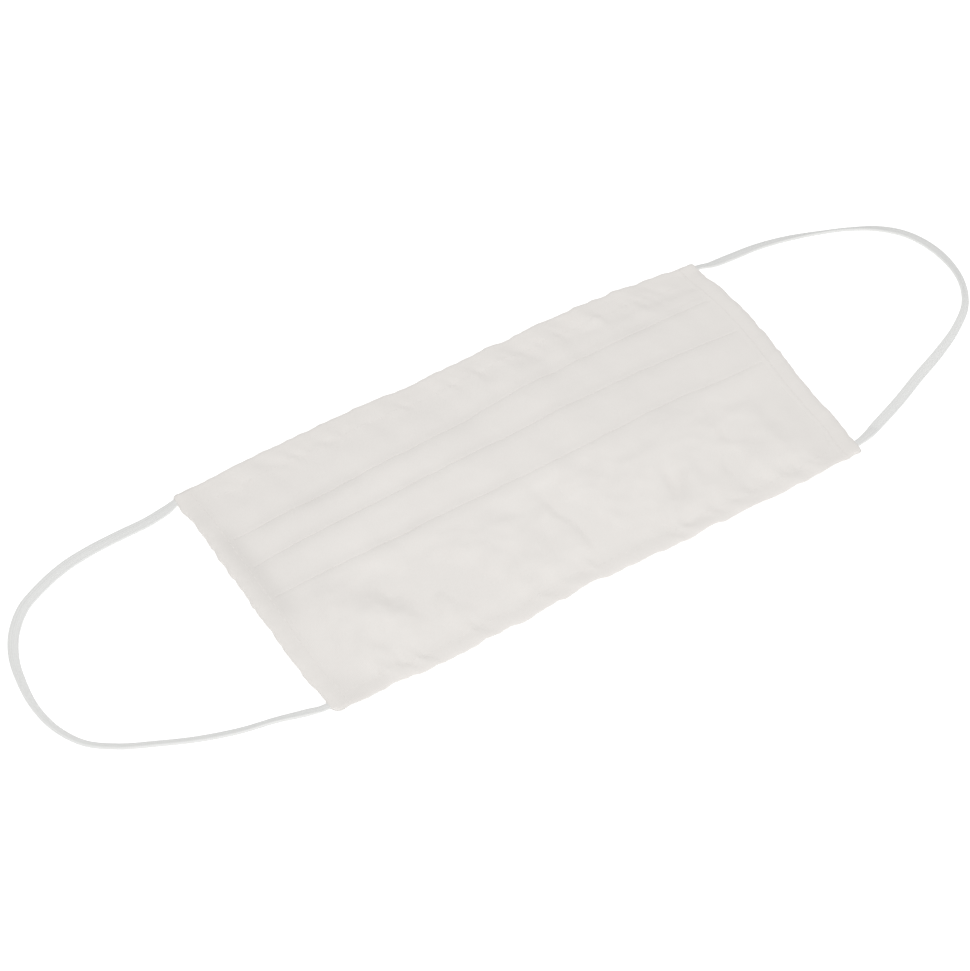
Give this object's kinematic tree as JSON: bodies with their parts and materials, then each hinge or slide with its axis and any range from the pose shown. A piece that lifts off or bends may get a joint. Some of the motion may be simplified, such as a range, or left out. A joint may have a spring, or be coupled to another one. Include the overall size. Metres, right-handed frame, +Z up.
{
  "type": "reusable face mask",
  "caption": "Flat pleated reusable cotton face mask lying outer side up, with turned and stitched hems and flat elastic ear loops sewn in at its corners.",
  "frame": {"origin": "on the surface that the mask lies on, under the middle of its cloth", "axes": "+X along the mask's width to the viewer's right, +Y towards the nose edge, +Z up out of the mask's outer side"},
  "size_m": [0.3281, 0.0952, 0.006],
  "materials": {
    "cotton": "off-white plain-weave cotton, matt",
    "hem_cotton": "off-white plain-weave cotton, matt, folded and stitched",
    "elastic": "white flat knitted elastic, matt"
  },
  "bodies": {
    "root": {"pleated_panel": "cotton", "left_side_hem": "hem_cotton", "right_side_hem": "hem_cotton", "left_ear_loop": "elastic", "right_ear_loop": "elastic"}
  },
  "joints": []
}
